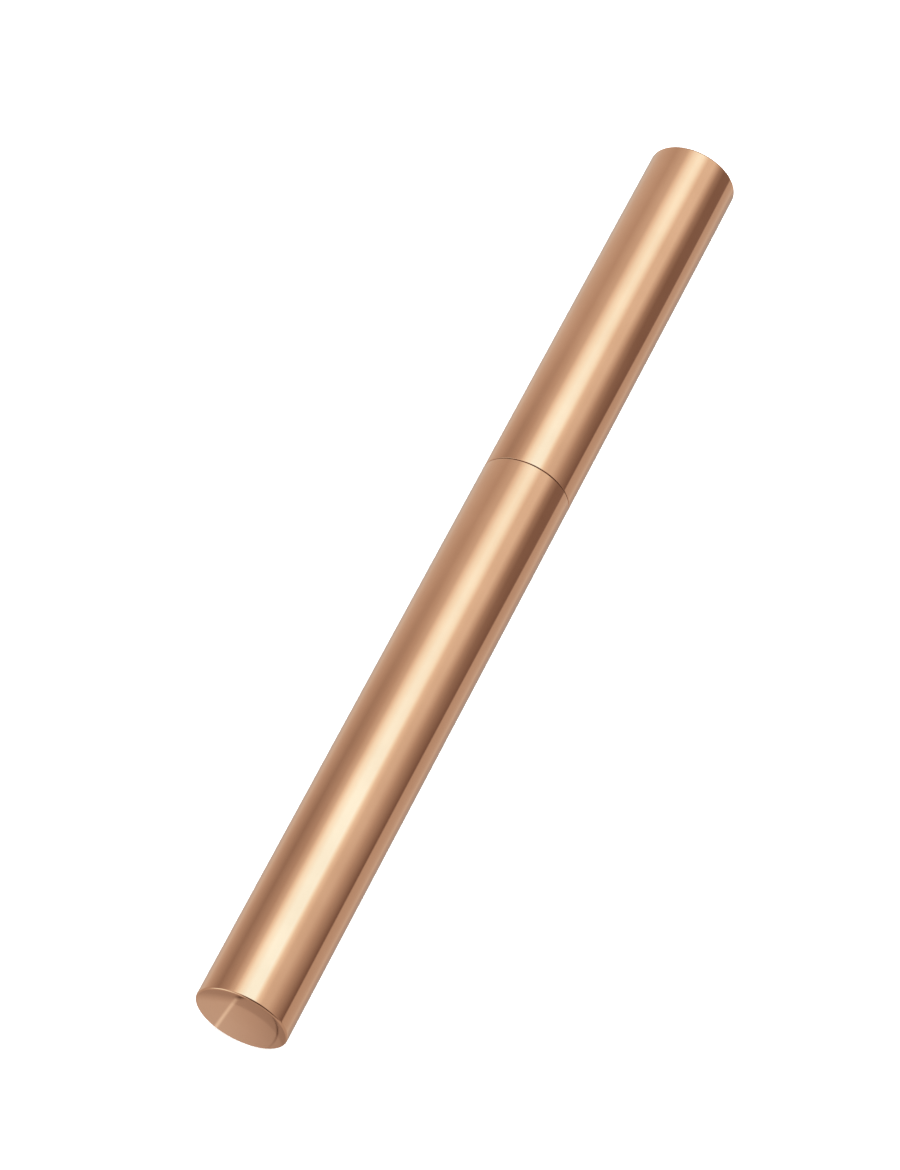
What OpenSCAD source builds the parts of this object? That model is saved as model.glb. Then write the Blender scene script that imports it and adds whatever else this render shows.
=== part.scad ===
// Slim twist-up lipstick case, closed and lying on its side.
// The case's axis runs along X, with the base's end at -X and the cap's end at +X.
// Origin: middle of the length and width, on the surface that the case lies on.
// Each sub-part is drawn standing up, its height measured from the base's end, then laid down.

/* [Case] */
// Outer diameter of the base and the cap
tube_d = 10.5; // [8.5:0.05:14]
// Length of the base, from its end rim to the seam
base_len = 72.6; // [58:0.1:90]
// Length of the cap, from the seam to its end rim
cap_len = 48.1; // [38:0.1:60]
// Gap between the base and the closed cap
seam_gap = 0.1; // [0.05:0.01:0.3]
// Wall of the metal tubes of the base and the cap
shell_wall = 0.45; // [0.3:0.05:0.6]
// Thickness of the closed ends
end_wall = 0.6; // [0.4:0.05:1.2]
// Radius that rounds the edge of each closed end
end_round = 0.25; // [0.1:0.01:0.4]
// Radius that rounds the edges at the seam
seam_round = 0.06; // [0.02:0.01:0.15]

/* [Weights] */
// Length of the steel weight in the base
base_weight_len = 10; // [5:0.5:20]
// Length of the steel weight in the cap
cap_weight_len = 3; // [1:0.5:4]
// Radius that rounds the edges of the weights
weight_round = 0.2; // [0.1:0.05:0.5]

/* [Base sleeve] */
// Wall of the plastic sleeve in the base
sleeve_wall = 0.4; // [0.3:0.05:0.6]
// Thickness of the floor that the mechanism stands on
sleeve_floor = 1.2; // [0.6:0.1:3]
// How far the sleeve's mouth lies below the seam
sleeve_drop = 0.25; // [0.1:0.05:1]

/* [Collar] */
// How deep the collar goes into the base
collar_depth = 11; // [8:0.5:14]
// Wall of the metal collar
collar_wall = 0.35; // [0.25:0.05:0.5]
// Thickness of the collar's inward lip
lip_t = 0.45; // [0.3:0.05:0.8]
// Radius that rounds the collar's top edge
lip_round = 0.3; // [0.1:0.05:0.4]

/* [Twist mechanism] */
// Turns of the collar that raise it fully
turns = 1.5; // [1:0.25:2]
// Wall of the spiral sleeve
spiral_wall = 0.6; // [0.5:0.05:0.8]
// Length left uncut at each end of the spiral sleeve
spiral_land = 1.5; // [1:0.1:3]
// Wall of the slotted tube
slotted_wall = 0.45; // [0.35:0.05:0.6]
// Length of the slotted tube's foot
foot_len = 3.5; // [2:0.5:6]
// Diameter of the lugs on the cup
lug_d = 1.2; // [0.8:0.1:1.4]
// Length of the friction ring
ring_len = 0.9; // [0.5:0.1:1.5]
// Height of the bead that holds the spiral sleeve down
bead_len = 0.7; // [0.5:0.1:1]
// How far that bead stands out of the slotted tube
bead_out = 0.3; // [0.2:0.05:0.4]

/* [Lipstick] */
// Length of the cup that holds the lipstick
cup_len = 11.3; // [8:0.1:14]
// Wall of the cup
cup_wall = 0.35; // [0.25:0.05:0.5]
// Thickness of the cup's floor
cup_floor = 0.8; // [0.5:0.1:1.5]
// How far the lug's middle is above the cup's lower end
lug_inset = 1.35; // [1:0.05:3]
// How far the lipstick's tip lies below the collar's lip when lowered
tip_drop = 0.8; // [0.3:0.1:3]
// How far the cup's edge lies below the collar's lip when raised
cup_drop = 0.8; // [0.3:0.1:3]
// Room between the raised lipstick's tip and the cap's liner
tip_room = 2.6; // [1:0.1:5]
// Angle of the slanted tip, from the axis
tip_angle = 38; // [30:1:60]
// Radius that rounds the tip's edge
tip_round = 1.1; // [0.5:0.1:1.5]

/* [Cap liner] */
// Thickness of the liner's closed end
liner_floor = 0.8; // [0.5:0.1:1.5]
// How far the liner's mouth lies inside the cap's edge
liner_drop = 0.3; // [0.1:0.05:1]
// Number of grip ribs in the liner
rib_count = 6; // [3:1:12]
// Length of a grip rib
rib_len = 9; // [4:0.5:14]
// Width of a grip rib
rib_w = 0.7; // [0.4:0.1:1.2]
// How far the ribs start inside the liner's mouth
rib_inset = 1; // [0.5:0.1:3]

/* [Clearances] */
// Clearance between pieces that turn or slide, on the radius
run_clear = 0.08; // [0.04:0.01:0.1]
// Clearance of the lugs in their slots and grooves, on each side
lug_clear = 0.15; // [0.1:0.01:0.25]
// Clearance of the lipstick inside the slotted tube, beyond the cup's
bullet_clear = 0.1; // [0.05:0.01:0.3]
// Clearance of the liner around the collar, on the radius
liner_clear = 0.12; // [0.1:0.01:0.2]
// Clearance of the grip ribs around the collar, on the radius
rib_clear = 0.03; // [0.02:0.01:0.06]

/* [Hidden] */
$fn = 96;
// Overshoot of a cut past the face that it starts at
cut = 0.5;
round_fn = 48;

// Heights above the base's end, with the lipstick lowered
seam_at = base_len;
cap_from = seam_at + seam_gap;
total_len = cap_from + cap_len;
weight_to = end_wall + base_weight_len;
liner_to = total_len - end_wall - cap_weight_len;
collar_from = seam_at - collar_depth;
foot_to = collar_from - run_clear;
foot_from = foot_to - foot_len;
floor_from = foot_from - sleeve_floor;
lug_low = collar_from + spiral_land + lug_d / 2 + lug_clear;
cup_from = lug_low - lug_inset;
cup_to = cup_from + cup_len;
// The collar is as long as the cup and its travel, and the cap has to clear the raised tip,
// so the travel is half of what is left between the lowered cup's edge and the liner's floor
raised_tip_at = liner_to - liner_floor - tip_room;
travel = (raised_tip_at - cup_to - cup_drop + tip_drop) / 2;
collar_to = cup_to + travel + cup_drop;
bullet_from = cup_from + cup_floor;
bullet_to = collar_to - tip_drop;
lug_high = lug_low + travel;
spiral_to = lug_high + lug_d / 2 + lug_clear + spiral_land;
bead_from = spiral_to + run_clear;
ring_from = bead_from + bead_len;
slotted_to = collar_to - lip_t - run_clear;

// Radii, from the outside in
tube_r = tube_d / 2;
shell_in = tube_r - shell_wall;
sleeve_in = shell_in - sleeve_wall;
collar_r = sleeve_in - run_clear;
collar_in = collar_r - collar_wall;
spiral_in = collar_in - spiral_wall;
slotted_r = spiral_in - run_clear;
slotted_in = slotted_r - slotted_wall;
cup_r = slotted_in - run_clear;
cup_in = cup_r - cup_wall;
bullet_r = cup_r - bullet_clear;
liner_in = collar_r + liner_clear;

// The lugs' tips stop short of the collar, and the grooves go right through the spiral sleeve
lug_tip = collar_in - lug_clear;
lead = travel / turns;
groove_run = lug_d / 2 + lug_clear;
// The groove's width is measured round the sleeve at the middle of its wall
groove_r = (collar_in + spiral_in) / 2;
groove_slope = atan(lead / (2 * PI * groove_r));
groove_w = (lug_d + 2 * lug_clear) / sin(groove_slope);
groove_step = 12;

// Size of the block that cuts the lipstick's slant
slant_block = 6 * bullet_r;
// The grip ribs' roots are sunk in the liner's wall
rib_root = liner_in + (shell_in - liner_in) / 2;

// Lays a standing piece down along X
module lay() {
    translate([-total_len / 2, 0, tube_r]) rotate([0, 90, 0]) children();
}

// What a round takes off a corner that points to +X and, when top is true, up
module corner(r, top) {
    mirror([0, top ? 0 : 1]) difference() {
        translate([-r, -r]) square(r + cut);
        translate([-r, -r]) square(2 * r);
    }
    mirror([0, top ? 0 : 1]) difference() {
        translate([-r, -r]) square(r);
        translate([-r, -r]) circle(r = r, $fn = round_fn);
    }
}

// A round plate or plug from one height to another, with rounded outer edges
module turned(r, from, to, round_from = 0, round_to = 0) {
    rotate_extrude() difference() {
        translate([0, from]) square([r, to - from]);
        if (round_from > 0) translate([r, from]) corner(round_from, false);
        if (round_to > 0) translate([r, to]) corner(round_to, true);
    }
}

// A bore from one height to another, cut past open ends
module bore(r, from, to) {
    translate([0, 0, from]) cylinder(h = to - from, r = r);
}

// A drawn metal shell, closed at height 0 and open at the top
module shell(len) {
    difference() {
        turned(tube_r, 0, len, end_round, seam_round);
        bore(shell_in, end_wall, len + cut);
    }
}

module base_shell() {
    color("#d9a184") lay() shell(seam_at);
}

module base_weight() {
    color("#8d9196") lay() turned(shell_in, end_wall, weight_to, weight_round, weight_round);
}

module base_sleeve() {
    color("#26262a") lay() difference() {
        turned(shell_in, weight_to, seam_at - sleeve_drop);
        bore(sleeve_in, weight_to - cut, floor_from);
        bore(sleeve_in, foot_from, seam_at + cut);
    }
}

// Two straight slots for the lugs, one on each side
module straight_slots() {
    slot_w = lug_d + 2 * lug_clear;
    for (side = [0, 180]) {
        rotate([0, 0, side]) translate([0, -slot_w / 2, lug_low]) cube([collar_r, slot_w, travel]);
        for (end = [lug_low, lug_high])
            rotate([0, 0, side]) translate([0, 0, end]) rotate([0, 90, 0]) cylinder(h = collar_r, d = slot_w);
    }
}

module slotted_tube() {
    color("#e9e6df") lay() difference() {
        union() {
            turned(sleeve_in, foot_from, foot_to);
            turned(slotted_r, foot_from, slotted_to);
            turned(slotted_r + bead_out, bead_from, bead_from + bead_len, 0, bead_out / 2);
        }
        bore(slotted_in, foot_from - cut, slotted_to + cut);
        straight_slots();
    }
}

module friction_ring() {
    color("#4b4b4f") lay() difference() {
        turned(collar_in - rib_clear, ring_from, ring_from + ring_len, ring_len / 4, ring_len / 4);
        bore(slotted_r, ring_from - cut, ring_from + ring_len + cut);
    }
}

module collar_shell() {
    color("#dfa98c") lay() difference() {
        turned(collar_r, collar_from, collar_to, seam_round, lip_round);
        bore(collar_in, collar_from - cut, collar_to - lip_t);
        bore(slotted_in, collar_from, collar_to + cut);
    }
}

// Two spiral grooves, whose middle passes each lug at every height
module spiral_grooves() {
    run_from = lug_low - groove_run;
    run_len = travel + 2 * groove_run;
    run_turn = -360 * run_len / lead;
    groove_slices = round(abs(run_turn) / groove_step);
    for (side = [0, 180])
        rotate([0, 0, side + 360 * groove_run / lead])
            translate([0, 0, run_from])
                linear_extrude(run_len, twist = -run_turn, slices = groove_slices, $fn = 8)
                    translate([spiral_in - cut, -groove_w / 2]) square([spiral_wall + 2 * cut, groove_w]);
}

module spiral_sleeve() {
    color("#f2f0ea") lay() difference() {
        turned(collar_in, collar_from, spiral_to);
        bore(spiral_in, collar_from - cut, spiral_to + cut);
        spiral_grooves();
    }
}

module bullet_cup() {
    color("#f6f3ee") lay() difference() {
        union() {
            turned(cup_r, cup_from, cup_to);
            for (side = [0, 180])
                rotate([0, 0, side]) translate([0, 0, lug_low]) rotate([0, 90, 0]) cylinder(h = lug_tip, d = lug_d);
        }
        bore(cup_in, bullet_from, cup_to + cut);
    }
}

module lipstick_bullet() {
    color("#9c2f3c") lay() difference() {
        union() {
            turned(cup_in, bullet_from, cup_to);
            turned(bullet_r, cup_to, bullet_to, 0, tip_round);
        }
        // The slant starts a third of the way over the top and runs down the side
        translate([-bullet_r / 3, 0, bullet_to])
            rotate([0, tip_angle, 0])
                translate([-slant_block, -slant_block / 2, -slant_block])
                    cube([slant_block, slant_block, 2 * slant_block]);
    }
}

module cap_shell() {
    color("#d9a184") lay() translate([0, 0, total_len]) mirror([0, 0, 1]) shell(cap_len);
}

module cap_liner() {
    color("#26262a") lay() {
        difference() {
            turned(shell_in, cap_from + liner_drop, liner_to);
            bore(liner_in, cap_from - cut, liner_to - liner_floor);
        }
        // Grip ribs stand in from the wall, just inside the mouth
        intersection() {
            for (i = [0 : rib_count - 1])
                rotate([0, 0, 360 * (i + 0.5) / rib_count])
                    translate([0, -rib_w / 2, cap_from + liner_drop + rib_inset])
                        cube([rib_root, rib_w, rib_len]);
            difference() {
                turned(rib_root, cap_from, liner_to);
                bore(collar_r + rib_clear, cap_from - cut, liner_to + cut);
            }
        }
    }
}

module cap_weight() {
    color("#8d9196") lay() turned(shell_in, liner_to, liner_to + cap_weight_len, weight_round, weight_round);
}

base_shell();
base_weight();
base_sleeve();
slotted_tube();
friction_ring();
collar_shell();
spiral_sleeve();
bullet_cup();
lipstick_bullet();
cap_shell();
cap_liner();
cap_weight();
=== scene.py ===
"""Looks of a slim twist-up lipstick case: polished rose-gold shells over a plastic twist mechanism."""
import math

import bmesh
import bpy
from mathutils import Matrix, Vector


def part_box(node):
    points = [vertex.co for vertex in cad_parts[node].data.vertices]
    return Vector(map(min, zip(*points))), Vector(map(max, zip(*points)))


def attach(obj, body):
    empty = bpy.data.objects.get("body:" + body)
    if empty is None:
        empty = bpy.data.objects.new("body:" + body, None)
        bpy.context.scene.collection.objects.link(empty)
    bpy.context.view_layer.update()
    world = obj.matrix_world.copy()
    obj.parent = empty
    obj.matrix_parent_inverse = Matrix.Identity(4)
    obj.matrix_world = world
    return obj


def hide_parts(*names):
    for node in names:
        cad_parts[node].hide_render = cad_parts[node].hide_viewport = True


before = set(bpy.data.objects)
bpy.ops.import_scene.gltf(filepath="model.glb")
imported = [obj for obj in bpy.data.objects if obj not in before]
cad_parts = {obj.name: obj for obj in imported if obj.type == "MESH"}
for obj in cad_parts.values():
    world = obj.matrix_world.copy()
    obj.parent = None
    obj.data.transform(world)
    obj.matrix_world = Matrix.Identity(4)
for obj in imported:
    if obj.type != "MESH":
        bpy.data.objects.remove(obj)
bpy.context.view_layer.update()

MM = 0.001
ARC_STEP = math.radians(9)
ROUND_SEGMENTS = 256


# ---------------------------------------------------------------- places, from the frame

def span(node):
    """A node's two ends along the case and its radius from the case's axis."""
    low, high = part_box(node)
    return low.x, high.x, (high.y - low.y) / 2


BASE_END, BASE_MOUTH, SHELL_R = span("base_shell")
CAP_MOUTH, CAP_END, _ = span("cap_shell")
COLLAR_FOOT, COLLAR_LIP, COLLAR_R = span("collar_shell")
BULLET_FOOT, BULLET_TIP, BULLET_R = span("lipstick_bullet")
CUP_FOOT, CUP_EDGE, _ = span("bullet_cup")
LUG_TIP = (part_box("bullet_cup")[1].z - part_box("bullet_cup")[0].z) / 2
SLEEVE_FOOT, SLEEVE_MOUTH, SLEEVE_R = span("base_sleeve")
TUBE_FOOT, _, SLEEVE_BORE = span("slotted_tube")
LINER_MOUTH, LINER_END, LINER_R = span("cap_liner")
AXIS_Z = SHELL_R
WALL = SHELL_R - SLEEVE_R
END_WALL = SLEEVE_FOOT - BASE_END - (span("base_weight")[1] - span("base_weight")[0])


# ---------------------------------------------------------------- mesh helpers

def arc(before, corner, after, radius):
    """Points of a round of that radius in place of a corner between two straight stretches."""
    to_before = (before - corner).normalized()
    to_after = (after - corner).normalized()
    half = to_before.angle(to_after) / 2
    reach = radius / math.tan(half)
    start, end = corner + to_before * reach, corner + to_after * reach
    centre = corner + (to_before + to_after).normalized() * (radius / math.sin(half))
    steps = max(3, round((math.pi - 2 * half) / ARC_STEP))
    a, b = start - centre, end - centre
    turn = a.angle_signed(b)
    points = []
    for i in range(steps + 1):
        points.append(centre + Matrix.Rotation(-turn * i / steps, 2) @ a)
    return points


def rounded(corners):
    """An outline from corners (x, r, round): a list of points, with arcs where a corner has a round."""
    points = []
    for i, (x, r, radius) in enumerate(corners):
        corner = Vector((x, r))
        if radius <= 0:
            points.append(corner)
            continue
        before, after = corners[i - 1], corners[(i + 1) % len(corners)]
        points += arc(Vector(before[:2]), corner, Vector(after[:2]), radius)
    return points


def turn_rings(build, outline, axis, closed=True, segments=ROUND_SEGMENTS):
    """Adds a turned surface to a bmesh. axis gives a world point from (along, across, up) from the axis."""
    rings = []
    for point in outline:
        count = 1 if point.y < 1e-9 else segments
        ring = []
        for k in range(count):
            angle = 2 * math.pi * k / segments
            ring.append(build.verts.new(axis(point.x, point.y * math.cos(angle), point.y * math.sin(angle))))
        rings.append(ring)
    pairs = list(zip(rings, rings[1:]))
    if closed:
        pairs.append((rings[-1], rings[0]))
    for first, second in pairs:
        if len(first) + len(second) == 2:
            continue
        for k in range(max(len(first), len(second))):
            quad = [first[k % len(first)], first[(k + 1) % len(first)]]
            quad += [second[(k + 1) % len(second)], second[k % len(second)]]
            build.faces.new(list(dict.fromkeys(quad)))


def along_case(along, across, up):
    """A point about the case's own axis."""
    return along, across, AXIS_Z + up


def finished(name, build):
    """Turns a bmesh into an object with smooth shading."""
    bmesh.ops.recalc_face_normals(build, faces=build.faces)
    mesh = bpy.data.meshes.new(name)
    build.to_mesh(mesh)
    build.free()
    piece = bpy.data.objects.new(name, mesh)
    bpy.context.scene.collection.objects.link(piece)
    smooth(mesh)
    return piece


def lathe(name, corners, closed=True):
    """Turns an outline of (x, r, round) corners about the case's axis."""
    build = bmesh.new()
    turn_rings(build, rounded(corners), along_case, closed)
    return finished(name, build)


def smooth(mesh, angle=30):
    """Smooth shading, but not across edges sharper than that angle."""
    mesh.shade_smooth()
    mesh.set_sharp_from_angle(angle=math.radians(angle))


def place(piece, material, body, node):
    """Gives a piece its material and the body it rides on, and hides the CAD node that it stands for."""
    piece.data.materials.clear()
    piece.data.materials.append(material)
    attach(piece, body)
    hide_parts(node)


# ---------------------------------------------------------------- camera

PHOTO_LONG_SIDE = 1170
CAMERA_FOCAL_PX = 4710.4
cam_data = bpy.data.cameras.new("camera")
cam_data.sensor_width = 36
cam_data.lens = CAMERA_FOCAL_PX / PHOTO_LONG_SIDE * cam_data.sensor_width
cam_data.clip_start = 0.01
cam_data.clip_end = 20
camera = bpy.data.objects.new("camera", cam_data)
bpy.context.scene.collection.objects.link(camera)
camera.location = Vector((-262.905, -114.494, 431.755)) * MM
CAMERA_TARGET = Vector((-2.266, 2.588, 4.530)) * MM
camera.rotation_mode = "QUATERNION"
camera.rotation_quaternion = (CAMERA_TARGET - camera.location).to_track_quat("-Z", "Y")
bpy.context.scene.camera = camera


# ---------------------------------------------------------------- surroundings

def ramp_node(tree, stops, first, last, top=1):
    """A colour ramp from first to last. A stop is its place, then a grey or three colours."""
    ramp = tree.nodes.new("ShaderNodeValToRGB")
    elements = ramp.color_ramp.elements
    while len(elements) > 1:
        elements.remove(elements[-1])
    for i, (place_at, *colour) in enumerate(stops):
        position = (place_at - first) / (last - first)
        element = elements[0] if i == 0 else elements.new(position)
        element.position = position
        element.color = [c / top for c in (colour * 3)[:3]] + [1]
    return ramp


def maths(tree, operation, first, second=None, third=None, clamp=False):
    """A Math node; each argument is a socket or a number."""
    node = tree.nodes.new("ShaderNodeMath")
    node.operation = operation
    node.use_clamp = clamp
    for socket, value in zip(node.inputs, (first, second, third)):
        if isinstance(value, bpy.types.NodeSocket):
            tree.links.new(value, socket)
        elif value is not None:
            socket.default_value = value
    return node.outputs[0]


def spread(tree, value, low, high, out_low, out_high, smooth_ends=False):
    """Maps a value from one range to another, held at the ends."""
    node = tree.nodes.new("ShaderNodeMapRange")
    if smooth_ends:
        node.interpolation_type = "SMOOTHSTEP"
    tree.links.new(value, node.inputs["Value"])
    for socket, number in zip(list(node.inputs)[1:5], (low, high, out_low, out_high)):
        socket.default_value = number
    return node.outputs["Result"]


def mixed(tree, factor, first, second):
    """Mixes two colours, each a socket or red, green and blue."""
    node = tree.nodes.new("ShaderNodeMix")
    node.data_type = "RGBA"
    tree.links.new(factor, node.inputs["Factor"])
    for socket, value in ((node.inputs[6], first), (node.inputs[7], second)):
        if isinstance(value, bpy.types.NodeSocket):
            tree.links.new(value, socket)
        else:
            socket.default_value = (*value, 1)
    return node.outputs[2]


# What the polished metal mirrors, as brightness by angle about the case's axis: 0 is overhead, positive
# towards -Y. NEAR_SKY is what the base's end mirrors to the camera and FAR_SKY what the cap's end does:
# the table behind, the dim room behind, the long soft box overhead, and a panel in front that ends in shade.
NEAR_SKY = [
    (-180, 0.35), (-120, 0.70), (-100, 0.50), (-70, 0.30), (-45, 0.45), (-30, 0.75), (-15, 1.50),
    (0, 1.80), (20, 1.80), (30, 1.05), (40, 0.80), (55, 0.75), (75, 0.45), (105, 0.15), (180, 0.15),
]
FAR_SKY = [
    (-180, 0.35), (-125, 0.70), (-90, 0.60), (-60, 0.50), (-30, 0.70), (-10, 1.35),
    (5, 1.60), (15, 1.50), (30, 0.90), (50, 0.90), (70, 0.35), (85, 0.20), (180, 0.20),
]
# The pale table in front, with a brighter streak on it
TABLE = [(-180, 0.35), (105, 0.50), (130, 0.55), (145, 0.65), (155, 0.50), (180, 0.35)]
# What the ends mirror of the room behind the base, lit from +Y and dim towards -Y, over the pale table
BEHIND = [
    (-180, 0.50), (-130, 0.50), (-100, 1.35), (-65, 1.30), (-45, 0.75), (-20, 0.45), (-10, 0.05),
    (95, 0.03), (105, 0.40), (180, 0.50),
]
# The same beyond the cap's end, all dim above the table
AHEAD = [(-180, 0.50), (-120, 0.45), (-100, 0.25), (0, 0.20), (100, 0.25), (120, 0.45), (180, 0.50)]
# The camera's response, as red, green and blue by level: dim parts go warm, bright parts cool
RESPONSE = [
    (0, 0.02, 0.01, 0.005), (0.2, 0.24, 0.19, 0.165), (0.5, 0.53, 0.50, 0.45),
    (1.0, 0.90, 1.00, 0.94), (1.5, 1.10, 1.50, 1.55), (1.9, 1.15, 1.90, 2.30),
]
RESPONSE_TOP = 2.5
# The camera sees the two ends by mirror rays whose share along +X is this
NEAR_ALONG, FAR_ALONG = 0.44, 0.567
# The table's edge as mirrored at the two ends, in degrees
NEAR_EDGE, FAR_EDGE = 105, 113


def studio_world():
    """White to the camera, and the light levels above to everything else."""
    world = bpy.data.worlds.new("studio")
    bpy.context.scene.world = world
    world.use_nodes = True
    sky = world.node_tree
    sky.nodes.clear()
    direction = sky.nodes.new("ShaderNodeSeparateXYZ")
    sky.links.new(sky.nodes.new("ShaderNodeTexCoord").outputs["Generated"], direction.inputs[0])
    to_front = maths(sky, "MULTIPLY", direction.outputs["Y"], -1)
    around = maths(sky, "DEGREES", maths(sky, "ARCTAN2", to_front, direction.outputs["Z"]))
    turn = maths(sky, "MULTIPLY_ADD", around, 1 / 360, 0.5)
    facing = direction.outputs["X"]
    along = spread(sky, facing, NEAR_ALONG, FAR_ALONG, 0, 1)
    levels = []
    for stops in (NEAR_SKY, FAR_SKY, TABLE, BEHIND, AHEAD):
        stripes = ramp_node(sky, stops, -180, 180, RESPONSE_TOP)
        sky.links.new(turn, stripes.inputs[0])
        levels.append(stripes.outputs["Color"])
    edge_at = maths(sky, "MULTIPLY_ADD", maths(sky, "POWER", along, 2), FAR_EDGE - NEAR_EDGE, NEAR_EDGE)
    below_edge = spread(sky, maths(sky, "SUBTRACT", around, edge_at), -0.5, 3.5, 0, 1, smooth_ends=True)
    level = mixed(sky, below_edge, mixed(sky, along, levels[0], levels[1]), levels[2])
    level = mixed(sky, spread(sky, facing, -0.6, -0.3, 1, 0), level, levels[3])
    level = mixed(sky, spread(sky, facing, 0.72, 0.9, 0, 1), level, levels[4])
    response = ramp_node(sky, RESPONSE, 0, RESPONSE_TOP, RESPONSE_TOP)
    sky.links.new(level, response.inputs[0])
    mirrored = sky.nodes.new("ShaderNodeBackground")
    mirrored.inputs["Strength"].default_value = RESPONSE_TOP
    sky.links.new(response.outputs["Color"], mirrored.inputs["Color"])
    backdrop = sky.nodes.new("ShaderNodeBackground")
    backdrop.inputs["Color"].default_value = (1, 1, 1, 1)
    seen = sky.nodes.new("ShaderNodeMixShader")
    sky.links.new(sky.nodes.new("ShaderNodeLightPath").outputs["Is Camera Ray"], seen.inputs[0])
    sky.links.new(mirrored.outputs[0], seen.inputs[1])
    sky.links.new(backdrop.outputs[0], seen.inputs[2])
    sky.links.new(seen.outputs[0], sky.nodes.new("ShaderNodeOutputWorld").inputs[0])


studio_world()
bpy.context.scene.view_settings.view_transform = "Standard"
bpy.context.scene.view_settings.look = "None"


def soft_light(name, where, size, watts):
    """A square soft light aimed at the case. It lights what is matt and isn't mirrored by the metal."""
    light = bpy.data.lights.new(name, "AREA")
    light.size = size
    light.energy = watts
    lamp = bpy.data.objects.new(name, light)
    bpy.context.scene.collection.objects.link(lamp)
    lamp.location = where
    lamp.rotation_mode = "QUATERNION"
    lamp.rotation_quaternion = (-lamp.location).to_track_quat("-Z", "Y")
    lamp.visible_glossy = False


soft_light("overhead_light", Vector((0, -0.1, 0.9)), 0.8, 9)
soft_light("side_light", Vector((-0.5, -0.7, 0.5)), 0.5, 3)


# ---------------------------------------------------------------- materials

def material_tree(name):
    """A new node material, its tree and its shader."""
    material = bpy.data.materials.new(name)
    material.use_nodes = True
    tree = material.node_tree
    return material, tree, tree.nodes["Principled BSDF"]


def noise(tree, vector, scale, detail=2, rough=0.5):
    """A noise texture's value, 0 to 1."""
    node = tree.nodes.new("ShaderNodeTexNoise")
    tree.links.new(vector, node.inputs["Vector"])
    node.inputs["Scale"].default_value = scale
    node.inputs["Detail"].default_value = detail
    node.inputs["Roughness"].default_value = rough
    return node.outputs["Fac"]


def squared(tree, value):
    """A value times itself."""
    return maths(tree, "POWER", value, 2)


def clouded(tree, shader, position, scale, detail, dark, light):
    """A base colour that drifts softly between two colours."""
    cloud = spread(tree, noise(tree, position, scale, detail), 0.3, 0.7, 0, 1)
    tree.links.new(mixed(tree, cloud, dark, light), shader.inputs["Base Color"])


def bumped(tree, shader, height, strength, distance):
    """Bump from a height value, on top of any bump that the shader already has."""
    node = tree.nodes.new("ShaderNodeBump")
    node.inputs["Strength"].default_value = strength
    node.inputs["Distance"].default_value = distance
    tree.links.new(height, node.inputs["Height"])
    if shader.inputs["Normal"].links:
        tree.links.new(shader.inputs["Normal"].links[0].from_socket, node.inputs["Normal"])
    tree.links.new(node.outputs[0], shader.inputs["Normal"])


def turned_coordinates(tree):
    """Coordinates of a turned surface, along its outline in x and round it in y, and the plain position."""
    position = tree.nodes.new("ShaderNodeTexCoord").outputs["Object"]
    split = tree.nodes.new("ShaderNodeSeparateXYZ")
    tree.links.new(position, split.inputs[0])
    height = maths(tree, "SUBTRACT", split.outputs["Z"], AXIS_Z)
    radius = maths(tree, "SQRT", maths(tree, "ADD", squared(tree, split.outputs["Y"]), squared(tree, height)))
    angle = maths(tree, "ARCTAN2", split.outputs["Y"], height)
    joined = tree.nodes.new("ShaderNodeCombineXYZ")
    tree.links.new(maths(tree, "ADD", split.outputs["X"], radius), joined.inputs["X"])
    tree.links.new(maths(tree, "MULTIPLY", angle, 0.4 * MM), joined.inputs["Y"])
    return joined.outputs[0], position


def polished_metal(name, dark, light, roughness):
    """Polished metal: fine lines round the case, faint smears and a little unevenness in colour."""
    material, tree, shader = material_tree(name)
    turned, position = turned_coordinates(tree)
    shader.inputs["Metallic"].default_value = 1
    clouded(tree, shader, position, 160, 3, dark, light)
    smear = spread(tree, noise(tree, position, 420, 4, 0.6), 0.35, 0.75, roughness, roughness * 1.6)
    lines = noise(tree, turned, 30000, 2)
    fine = spread(tree, lines, 0.3, 0.7, -0.012, 0.012)
    tree.links.new(maths(tree, "ADD", smear, fine), shader.inputs["Roughness"])
    bumped(tree, shader, lines, 0.05, 0.004 * MM)
    return material


def moulded_plastic(name, dark, light, roughness):
    """Moulded plastic: a fine grain, a little unevenness in colour and sheen."""
    material, tree, shader = material_tree(name)
    position = tree.nodes.new("ShaderNodeTexCoord").outputs["Object"]
    clouded(tree, shader, position, 300, 3, dark, light)
    sheen = spread(tree, noise(tree, position, 900, 3), 0.3, 0.7, roughness * 0.85, roughness * 1.15)
    tree.links.new(sheen, shader.inputs["Roughness"])
    bumped(tree, shader, noise(tree, position, 9000, 3), 0.25, 0.01 * MM)
    return material


def lipstick_wax(name):
    """Satin wax, with faint rings round it and a little unevenness in colour and sheen."""
    material, tree, shader = material_tree(name)
    turned, position = turned_coordinates(tree)
    clouded(tree, shader, position, 500, 4, (0.24, 0.014, 0.026), (0.29, 0.022, 0.036))
    sheen = spread(tree, noise(tree, position, 1500, 3), 0.3, 0.7, 0.26, 0.40)
    tree.links.new(sheen, shader.inputs["Roughness"])
    shader.inputs["Subsurface Weight"].default_value = 0.15
    shader.inputs["Subsurface Radius"].default_value = (0.0012, 0.0004, 0.0003)
    shader.inputs["Coat Weight"].default_value = 0.15
    shader.inputs["Coat Roughness"].default_value = 0.25
    bumped(tree, shader, noise(tree, turned, 6000, 3), 0.3, 0.01 * MM)
    return material


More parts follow.
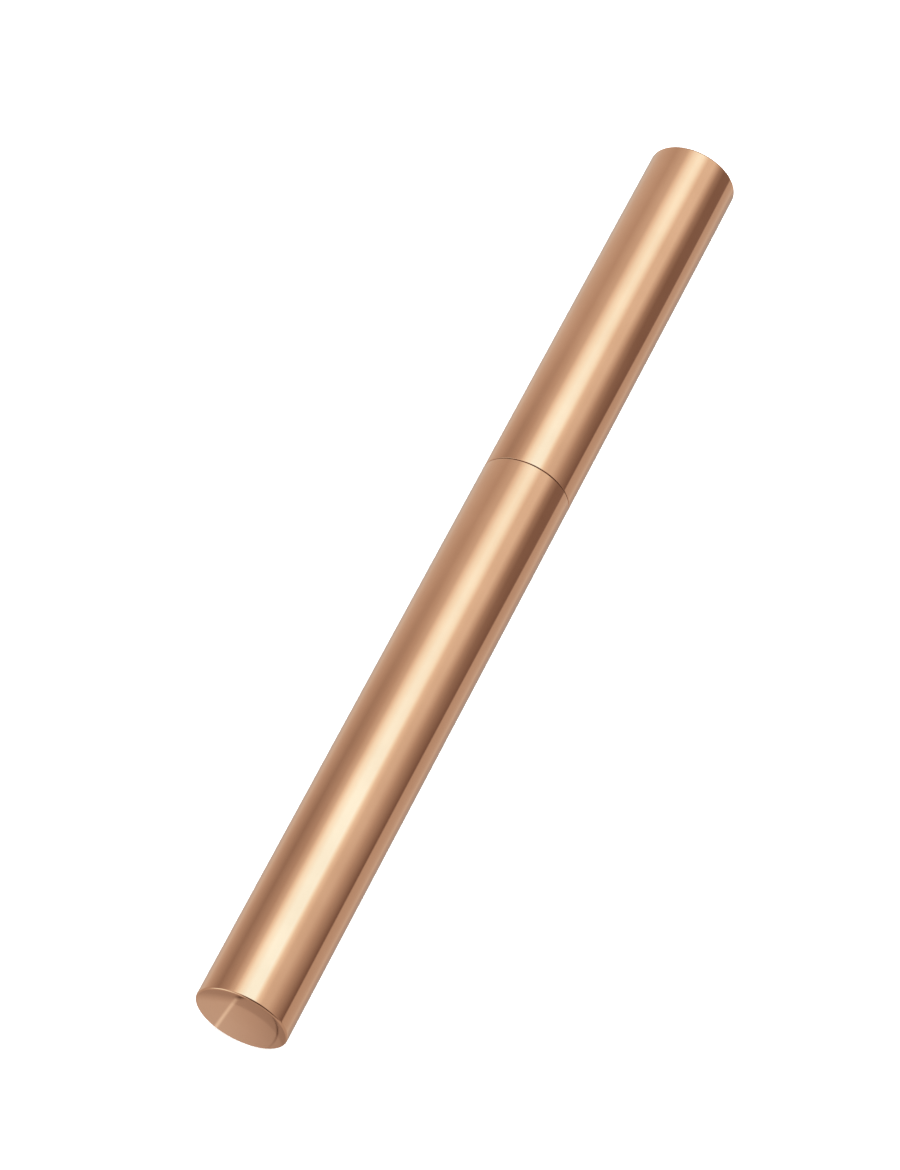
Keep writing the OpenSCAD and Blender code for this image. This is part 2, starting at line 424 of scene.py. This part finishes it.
ROSE_DARK = (0.84, 0.455, 0.288)
ROSE_LIGHT = (0.88, 0.485, 0.312)
case_metal = polished_metal("case_metal", ROSE_DARK, ROSE_LIGHT, 0.07)
collar_metal = polished_metal("collar_metal", ROSE_DARK, ROSE_LIGHT, 0.06)
weight_steel = polished_metal("weight_steel", (0.42, 0.43, 0.45), (0.50, 0.51, 0.53), 0.30)
sleeve_plastic = moulded_plastic("sleeve_plastic", (0.014, 0.014, 0.016), (0.022, 0.022, 0.024), 0.45)
mechanism_plastic = moulded_plastic("mechanism_plastic", (0.74, 0.72, 0.67), (0.80, 0.79, 0.75), 0.42)
cup_plastic = moulded_plastic("cup_plastic", (0.78, 0.76, 0.72), (0.84, 0.83, 0.80), 0.28)
ring_silicone = moulded_plastic("ring_silicone", (0.03, 0.03, 0.032), (0.045, 0.045, 0.048), 0.55)
wax = lipstick_wax("lipstick_wax")


# ---------------------------------------------------------------- the case's visible pieces

EDGE_ROUND = 0.25 * MM
# The shells are drawn this much inside the CAD, so that rounding never puts them outside its box
INSIDE = 0.001 * MM
OUTER_R = SHELL_R - INSIDE
SEAM_ROUND = 0.07 * MM
# The two mouths stand this much closer together than in the CAD, as the seam looks finer once rounded
SEAM_CLOSE = 0.01 * MM
LIP_ROUND = 0.30 * MM
LIP_THICK = 0.45 * MM
COLLAR_WALL = 0.35 * MM
SLEEVE_FLOOR = 1.2 * MM
LIP_BORE = BULLET_R + 0.18 * MM
CUP_R = BULLET_R + 0.10 * MM
CUP_BORE = CUP_R - 0.35 * MM
CUP_FLOOR = 0.8 * MM
LUG_R = 0.6 * MM
LUG_AT = CUP_FOOT + 1.35 * MM
TIP_ROUND = 1.1 * MM
TIP_ANGLE = math.radians(38)
RIM_ROUND = 0.16 * MM
LINER_BORE = COLLAR_R + 0.12 * MM
LINER_FLOOR = 0.8 * MM
RIB_COUNT = 6
RIB_LEN, RIB_W, RIB_START, RIB_R = 9 * MM, 0.7 * MM, 1 * MM, COLLAR_R + 0.03 * MM


def closed_shell(name, closed_end, mouth):
    """A drawn shell from its closed end to its open mouth."""
    inward = 1 if mouth > closed_end else -1
    floor = closed_end + inward * END_WALL
    mouth += inward * SEAM_CLOSE
    return lathe(name, [
        (closed_end, 0, 0),
        (closed_end, OUTER_R, EDGE_ROUND),
        (mouth, OUTER_R, SEAM_ROUND),
        (mouth, SHELL_R - WALL, SEAM_ROUND),
        (floor, SHELL_R - WALL, SEAM_ROUND),
        (floor, 0, 0),
    ], closed=False)


def collar_tube():
    """The collar: a thin tube with a rounded inward lip."""
    return lathe("collar_tube", [
        (COLLAR_FOOT, COLLAR_R - COLLAR_WALL, 0.05 * MM),
        (COLLAR_FOOT, COLLAR_R, SEAM_ROUND),
        (COLLAR_LIP, COLLAR_R, LIP_ROUND),
        (COLLAR_LIP, LIP_BORE, 0.14 * MM),
        (COLLAR_LIP - LIP_THICK, LIP_BORE, 0.08 * MM),
        (COLLAR_LIP - LIP_THICK, COLLAR_R - COLLAR_WALL, 0.1 * MM),
    ])


def sleeve_tube():
    """The base's sleeve, with the floor that the mechanism stands on."""
    floor_from = TUBE_FOOT - SLEEVE_FLOOR
    build = bmesh.new()
    outline = rounded([
        (SLEEVE_FOOT, SLEEVE_BORE, 0.05 * MM),
        (SLEEVE_FOOT, SLEEVE_R, 0.1 * MM),
        (SLEEVE_MOUTH, SLEEVE_R, 0.08 * MM),
        (SLEEVE_MOUTH, SLEEVE_BORE, 0.12 * MM),
        (TUBE_FOOT, SLEEVE_BORE, 0.1 * MM),
        (TUBE_FOOT, 0, 0),
    ])
    outline += rounded([
        (floor_from, 0, 0),
        (floor_from, SLEEVE_BORE, 0.1 * MM),
        (SLEEVE_FOOT, SLEEVE_BORE, 0),
    ])[:-1]
    turn_rings(build, outline, along_case)
    return finished("sleeve_tube", build)


def cup_with_lugs():
    """The cup that holds the lipstick, with a lug on each side that rides in the slots."""
    build = bmesh.new()
    turn_rings(build, rounded([
        (CUP_FOOT, 0, 0),
        (CUP_FOOT, CUP_R, 0.12 * MM),
        (CUP_EDGE, CUP_R, 0.10 * MM),
        (CUP_EDGE, CUP_BORE, 0.10 * MM),
        (CUP_FOOT + CUP_FLOOR, CUP_BORE, 0.10 * MM),
        (CUP_FOOT + CUP_FLOOR, 0, 0),
    ]), along_case, closed=False)
    for side in (-1, 1):
        outline = rounded([(CUP_BORE + 0.1 * MM, 0, 0), (CUP_BORE + 0.1 * MM, LUG_R, 0)])
        outline += rounded([(LUG_TIP, 0, 0), (LUG_TIP, LUG_R, 0.12 * MM), (CUP_BORE, LUG_R, 0)])[1:-1][::-1]
        outline.append(Vector((LUG_TIP, 0)))
        turn_rings(build, outline, lambda out, x, y: (LUG_AT + x, y, AXIS_Z + side * out), False, 48)
    return finished("lipstick_cup", build)


def slanted_bullet():
    """The lipstick: a plug in the cup, a wider round stick above it and a slanted tip with a softened rim."""
    build = bmesh.new()
    turn_rings(build, rounded([
        (BULLET_FOOT, 0, 0),
        (BULLET_FOOT, CUP_BORE, 0.10 * MM),
        (CUP_EDGE, CUP_BORE, 0),
        (CUP_EDGE, BULLET_R, 0.12 * MM),
        (BULLET_TIP, BULLET_R, TIP_ROUND),
        (BULLET_TIP, 0, 0),
    ]), along_case, closed=False, segments=192)
    slant_from = Vector((BULLET_TIP, 0, AXIS_Z + BULLET_R / 3))
    outward = Vector((math.sin(TIP_ANGLE), 0, math.cos(TIP_ANGLE)))
    everything = build.verts[:] + build.edges[:] + build.faces[:]
    cut = bmesh.ops.bisect_plane(
        build, geom=everything, plane_co=slant_from, plane_no=outward, clear_outer=True,
    )
    cut_points = [part for part in cut["geom_cut"] if isinstance(part, bmesh.types.BMVert)]
    bmesh.ops.remove_doubles(build, verts=cut_points, dist=0.02 * MM)
    rim = [edge for edge in build.edges if edge.is_boundary]
    bmesh.ops.contextual_create(build, geom=rim)
    bmesh.ops.bevel(
        build, geom=rim, offset=RIM_ROUND, segments=4, profile=0.5, affect="EDGES", clamp_overlap=True,
    )
    return finished("slanted_lipstick", build)


def ribbed_liner():
    """The cap's liner, with grip ribs just inside its mouth."""
    build = bmesh.new()
    turn_rings(build, rounded([
        (LINER_MOUTH, LINER_BORE, 0.10 * MM),
        (LINER_MOUTH, LINER_R, 0.08 * MM),
        (LINER_END, LINER_R, 0.08 * MM),
        (LINER_END, 0, 0),
    ]) + rounded([
        (LINER_END - LINER_FLOOR, 0, 0),
        (LINER_END - LINER_FLOOR, LINER_BORE, 0.3 * MM),
        (LINER_MOUTH, LINER_BORE, 0),
    ])[:-1], along_case)
    for i in range(RIB_COUNT):
        turn = Matrix.Rotation(2 * math.pi * (i + 0.5) / RIB_COUNT, 3, "X")
        start = LINER_MOUTH + RIB_START
        ring_ends = []
        stations = ((start, 0), (start + 0.15 * MM, 1), (start + RIB_LEN - 0.3 * MM, 1), (start + RIB_LEN, 0))
        for x, reach in stations:
            root = LINER_BORE + 0.05 * MM
            top = RIB_R + (1 - reach) * 0.08 * MM
            edge = top + 0.06 * MM
            shape = [(-0.5, root), (-0.5, edge), (-0.36, top), (0.36, top), (0.5, edge), (0.5, root)]
            points = [turn @ Vector((x, RIB_W * across, -out)) for across, out in shape]
            ring_ends.append([build.verts.new(point + Vector((0, 0, AXIS_Z))) for point in points])
        for first, second in zip(ring_ends, ring_ends[1:]):
            for k in range(len(first)):
                after = (k + 1) % len(first)
                build.faces.new([first[k], first[after], second[after], second[k]])
        build.faces.new(ring_ends[0])
        build.faces.new(ring_ends[-1])
    return finished("ribbed_liner", build)


base_case = closed_shell("base_case", BASE_END + INSIDE, BASE_MOUTH)
cap_case = closed_shell("cap_case", CAP_END - INSIDE, CAP_MOUTH)
place(base_case, case_metal, "base", "base_shell")
place(cap_case, case_metal, "cap", "cap_shell")
place(collar_tube(), collar_metal, "collar", "collar_shell")
place(sleeve_tube(), sleeve_plastic, "base", "base_sleeve")
place(cup_with_lugs(), cup_plastic, "cup", "bullet_cup")
place(slanted_bullet(), wax, "cup", "lipstick_bullet")
place(ribbed_liner(), sleeve_plastic, "cap", "cap_liner")

for node, material in (
    ("base_weight", weight_steel),
    ("slotted_tube", mechanism_plastic),
    ("friction_ring", ring_silicone),
    ("spiral_sleeve", mechanism_plastic),
    ("cap_weight", weight_steel),
):
    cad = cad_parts[node]
    cad.data.materials.clear()
    cad.data.materials.append(material)


# ---------------------------------------------------------------- floor

def floor_plane():
    """A wide pale floor just under the case, too bright to show more than a faint contact shadow."""
    mesh = bpy.data.meshes.new("floor")
    reach, below = 3, -0.02 * MM
    corners = [(-reach, -reach, below), (reach, -reach, below), (reach, reach, below), (-reach, reach, below)]
    mesh.from_pydata(corners, [], [(0, 1, 2, 3)])
    floor = bpy.data.objects.new("floor", mesh)
    bpy.context.scene.collection.objects.link(floor)
    material, tree, shader = material_tree("floor_white")
    shader.inputs["Base Color"].default_value = (0.9, 0.9, 0.9, 1)
    shader.inputs["Roughness"].default_value = 1
    shader.inputs["Emission Color"].default_value = (1, 1, 1, 1)
    shader.inputs["Emission Strength"].default_value = 0.55
    mesh.materials.append(material)
    floor.visible_glossy = False


floor_plane()


def band(tree, distance, half_width):
    """1 on a line and 0 from half_width away, with soft sides."""
    return spread(tree, maths(tree, "ABSOLUTE", distance), 0, half_width, 1, 0, smooth_ends=True)


# The camera sees a spot at height h on the base's flat end mirror the table this far out and this far aside
CARD_REACH = 0.615
CARD_SHIFT = 0.276


def painted_reflection_card():
    """A glowing card on the table before the base's flat end, painted with the reflections that the end
    shows. Only mirrors see it.

    The end shows the camera each point of the card. left and up are where on the end, in mm from its middle.
    It holds a painted pale streak with a painted dark hook over it, a painted pool of light below an arched
    edge with painted shade above it, and a thin painted dark line at the right. Away from all that it is as
    plain as the table.
    """
    mesh = bpy.data.meshes.new("painted_reflection_card")
    near, far, side, low = BASE_END - 0.1 * MM, BASE_END - 100 * MM, 60 * MM, -0.01 * MM
    corners = [(far, -side, low), (near, -side, low), (near, side, low), (far, side, low)]
    mesh.from_pydata(corners, [], [(0, 1, 2, 3)])
    card = bpy.data.objects.new("painted_reflection_card", mesh)
    bpy.context.scene.collection.objects.link(card)
    # The card's glow is painted reflection: its emission sets the light and shade that the base's end mirrors
    material, tree, shader = material_tree("painted_reflection_light")
    split = tree.nodes.new("ShaderNodeSeparateXYZ")
    tree.links.new(tree.nodes.new("ShaderNodeTexCoord").outputs["Object"], split.inputs[0])
    outwards = maths(tree, "SUBTRACT", BASE_END, split.outputs["X"])
    height = maths(tree, "DIVIDE", outwards, CARD_REACH * MM)
    left = maths(tree, "MULTIPLY_ADD", height, -CARD_SHIFT, maths(tree, "DIVIDE", split.outputs["Y"], MM))
    up = maths(tree, "SUBTRACT", height, AXIS_Z / MM)

    def circle(left_at, up_at, radius):
        across = squared(tree, maths(tree, "SUBTRACT", left, left_at))
        rise = squared(tree, maths(tree, "SUBTRACT", up, up_at))
        return maths(tree, "SUBTRACT", maths(tree, "SQRT", maths(tree, "ADD", across, rise)), radius)

    off_streak = maths(tree, "SUBTRACT", maths(tree, "MULTIPLY_ADD", up, 0.333, left), 1.72)
    # Painted reflection on the right of the end: a painted pool of light below the arch, with painted shade
    # above it
    painted_light_pool = maths(tree, "MULTIPLY_ADD", left, 0.03, 0.53)
    painted_arch_shade = maths(tree, "MULTIPLY_ADD", left, 0.015, 0.40)
    arch = spread(tree, circle(0.6, -3.4, 5.1), -0.12, 0.12, 0, 1, smooth_ends=True)
    right_side = mixed(tree, arch, painted_light_pool, painted_arch_shade)
    # Painted reflection on the left of the end, darker towards the rim
    towards_rim = maths(tree, "MULTIPLY_ADD", left, 0.6, up)
    left_side = spread(tree, towards_rim, 2.3, 4.3, 0.59, 0.37)
    is_left = spread(tree, off_streak, -0.05, 0.25, 0, 1, smooth_ends=True)
    level = mixed(tree, is_left, right_side, left_side)
    # Painted reflections added to the level: a pale streak, a dark hook over it and a thin dark line at the
    # right
    streak = maths(tree, "MULTIPLY", band(tree, off_streak, 0.36), spread(tree, up, 3.0, 3.7, 0.32, 0))
    hook = maths(tree, "SUBTRACT", maths(tree, "MULTIPLY_ADD", left, 1.2, up), 4.3)
    hook = maths(tree, "MULTIPLY", band(tree, hook, 0.75), spread(tree, up, 3.2, 4.0, 0, -0.38))
    painted_dark_line = band(tree, circle(4.76, 0.3, 8.96), 0.19)
    painted_dark_line = maths(tree, "MULTIPLY", painted_dark_line, spread(tree, up, -4, 0, -0.05, -0.28))
    is_right = spread(tree, left, -1.5, -3, 0, 1)
    painted_dark_line = maths(tree, "MULTIPLY", painted_dark_line, is_right)
    for part in (streak, hook, painted_dark_line):
        level = maths(tree, "ADD", level, part)
    off_end = maths(tree, "MAXIMUM", maths(tree, "ABSOLUTE", left), up)
    level = mixed(tree, spread(tree, off_end, 5.3, 8, 0, 1), level, (0.48, 0.48, 0.48))
    tint = ramp_node(tree, RESPONSE, 0, RESPONSE_TOP, RESPONSE_TOP)
    tree.links.new(maths(tree, "DIVIDE", level, RESPONSE_TOP), tint.inputs[0])
    tree.links.new(tint.outputs["Color"], shader.inputs["Emission Color"])
    shader.inputs["Emission Strength"].default_value = RESPONSE_TOP
    shader.inputs["Base Color"].default_value = (0, 0, 0, 1)
    shader.inputs["Roughness"].default_value = 1
    shader.inputs["Specular IOR Level"].default_value = 0
    mesh.materials.append(material)
    card.visible_camera = False
    card.visible_diffuse = False
    card.visible_shadow = False
    card.visible_transmission = False


painted_reflection_card()
